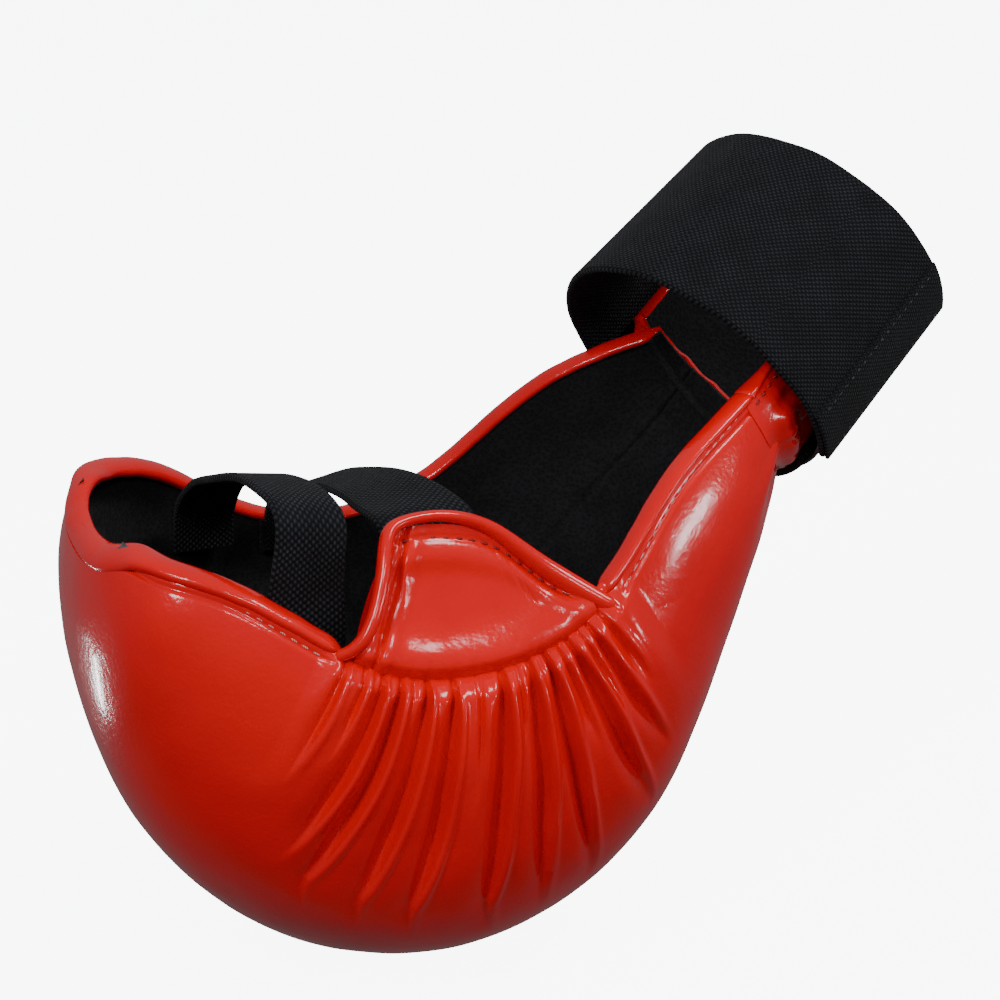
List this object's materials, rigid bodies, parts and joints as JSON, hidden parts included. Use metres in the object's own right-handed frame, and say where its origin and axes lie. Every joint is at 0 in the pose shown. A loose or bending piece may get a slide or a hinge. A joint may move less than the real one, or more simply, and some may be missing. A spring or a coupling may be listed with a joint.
{
  "type": "padded open-palm mitt",
  "caption": "Left-hand padded mitt: curved foam shell over the back of the hand, palm flap, elastic palm strap, finger loop and a wrist band that opens.",
  "frame": {"origin": "the middle of the open palm, level with the rim of the shell", "axes": "+X towards the wrist, +Y towards the little finger, +Z out of the palm"},
  "size_m": [0.2074, 0.108, 0.1767],
  "materials": {
    "red_leather": "glossy synthetic leather with a fine grain",
    "black_fabric": "matt woven lining",
    "foam": "closed-cell foam",
    "black_elastic": "ribbed woven elastic",
    "hook_and_loop": "hook and loop pile",
    "pale_thread": "twisted thread",
    "red_thread": "twisted thread"
  },
  "bodies": {
    "hand_shell": {"hand_foam": "foam", "hand_cover": "red_leather", "hand_lining": "black_fabric", "rim_fold_thumb": "red_leather", "smile_seam": "red_leather", "rim_fold_little": "red_leather", "wrist_end_fold": "red_leather", "stitch_rim_thumb": "pale_thread", "stitch_rim_little": "pale_thread", "palm_strap": "black_elastic", "palm_strap_anchor": "black_fabric"},
    "finger_shell": {"finger_foam": "foam", "finger_cover": "red_leather", "finger_lining": "black_fabric", "finger_rim_thumb": "red_leather", "finger_rim_little": "red_leather", "finger_end_fold": "red_leather", "stitch_finger_thumb": "pale_thread", "stitch_finger_little": "pale_thread", "loop_anchor_thumb": "black_fabric", "loop_anchor_little": "black_fabric"},
    "finger_loop_web": {"finger_loop": "black_elastic"},
    "thumb_flap": {"flap_cover": "red_leather", "flap_foam": "foam", "flap_lining": "black_fabric", "flap_rolled_edge": "red_leather", "strap_root_patch": "black_fabric", "stitch_flap": "red_thread"},
    "wrist_cuff": {"wrist_tab": "red_leather", "wrist_tab_layer": "black_fabric", "stitch_tab": "red_thread", "band_fixed": "black_elastic", "loop_patch": "hook_and_loop"},
    "band_quarter_1": {"band_tail_1": "black_elastic"},
    "band_quarter_2": {"band_tail_2": "black_elastic"},
    "band_quarter_3": {"band_tail_3": "black_elastic"},
    "band_free_end": {"band_tail_4": "black_elastic", "hook_patch": "hook_and_loop", "band_end_hem": "black_elastic"}
  },
  "joints": [
    {"name": "finger_flex", "type": "hinge", "parent": "hand_shell", "child": "finger_shell", "pos_m": [-0.0569, 0, -0.0921], "axis": [0, -1, 0], "range_deg": [0, 10], "stiffness_Nm_per_rad": 6},
    {"name": "finger_loop_tilt", "type": "hinge", "parent": "finger_shell", "child": "finger_loop_web", "pos_m": [-0.0582, 0, -0.0135], "axis": [0, 1, 0], "range_deg": [-4, 5], "stiffness_Nm_per_rad": 0.06},
    {"name": "flap_lift", "type": "hinge", "parent": "hand_shell", "child": "thumb_flap", "pos_m": [-0.023, -0.0483, -0.0068], "axis": [0.9976, 0.0078, 0.0685], "range_deg": [0, 25], "stiffness_Nm_per_rad": 0.12},
    {"name": "wrist_bend", "type": "hinge", "parent": "hand_shell", "child": "wrist_cuff", "pos_m": [0.06296, 0, -0.00131], "axis": [0, -1, 0], "range_deg": [-12, 0]},
    {"name": "band_open", "type": "hinge", "parent": "wrist_cuff", "child": "band_quarter_1", "pos_m": [0.02855, 0.00597, 0.04696], "axis": [-0.7668, -0.3049, -0.5648], "range_deg": [0, 60]},
    {"name": "band_open_2", "type": "hinge", "parent": "band_quarter_1", "child": "band_quarter_2", "pos_m": [0.03916, -0.01686, 0.04488], "axis": [-0.7668, -0.3049, -0.5648], "range_deg": [0, 45]},
    {"name": "band_open_3", "type": "hinge", "parent": "band_quarter_2", "child": "band_quarter_3", "pos_m": [0.05629, -0.0292, 0.02828], "axis": [-0.7668, -0.3049, -0.5648], "range_deg": [0, 45]},
    {"name": "band_open_4", "type": "hinge", "parent": "band_quarter_3", "child": "band_free_end", "pos_m": [0.06946, -0.02171, 0.00636], "axis": [-0.7668, -0.3049, -0.5648], "range_deg": [0, 45]}
  ],
  "couplings": [
    {"joint": "band_open_2", "follows": "band_open", "ratio": 0.75},
    {"joint": "band_open_3", "follows": "band_open", "ratio": 0.75},
    {"joint": "band_open_4", "follows": "band_open", "ratio": 0.75}
  ]
}
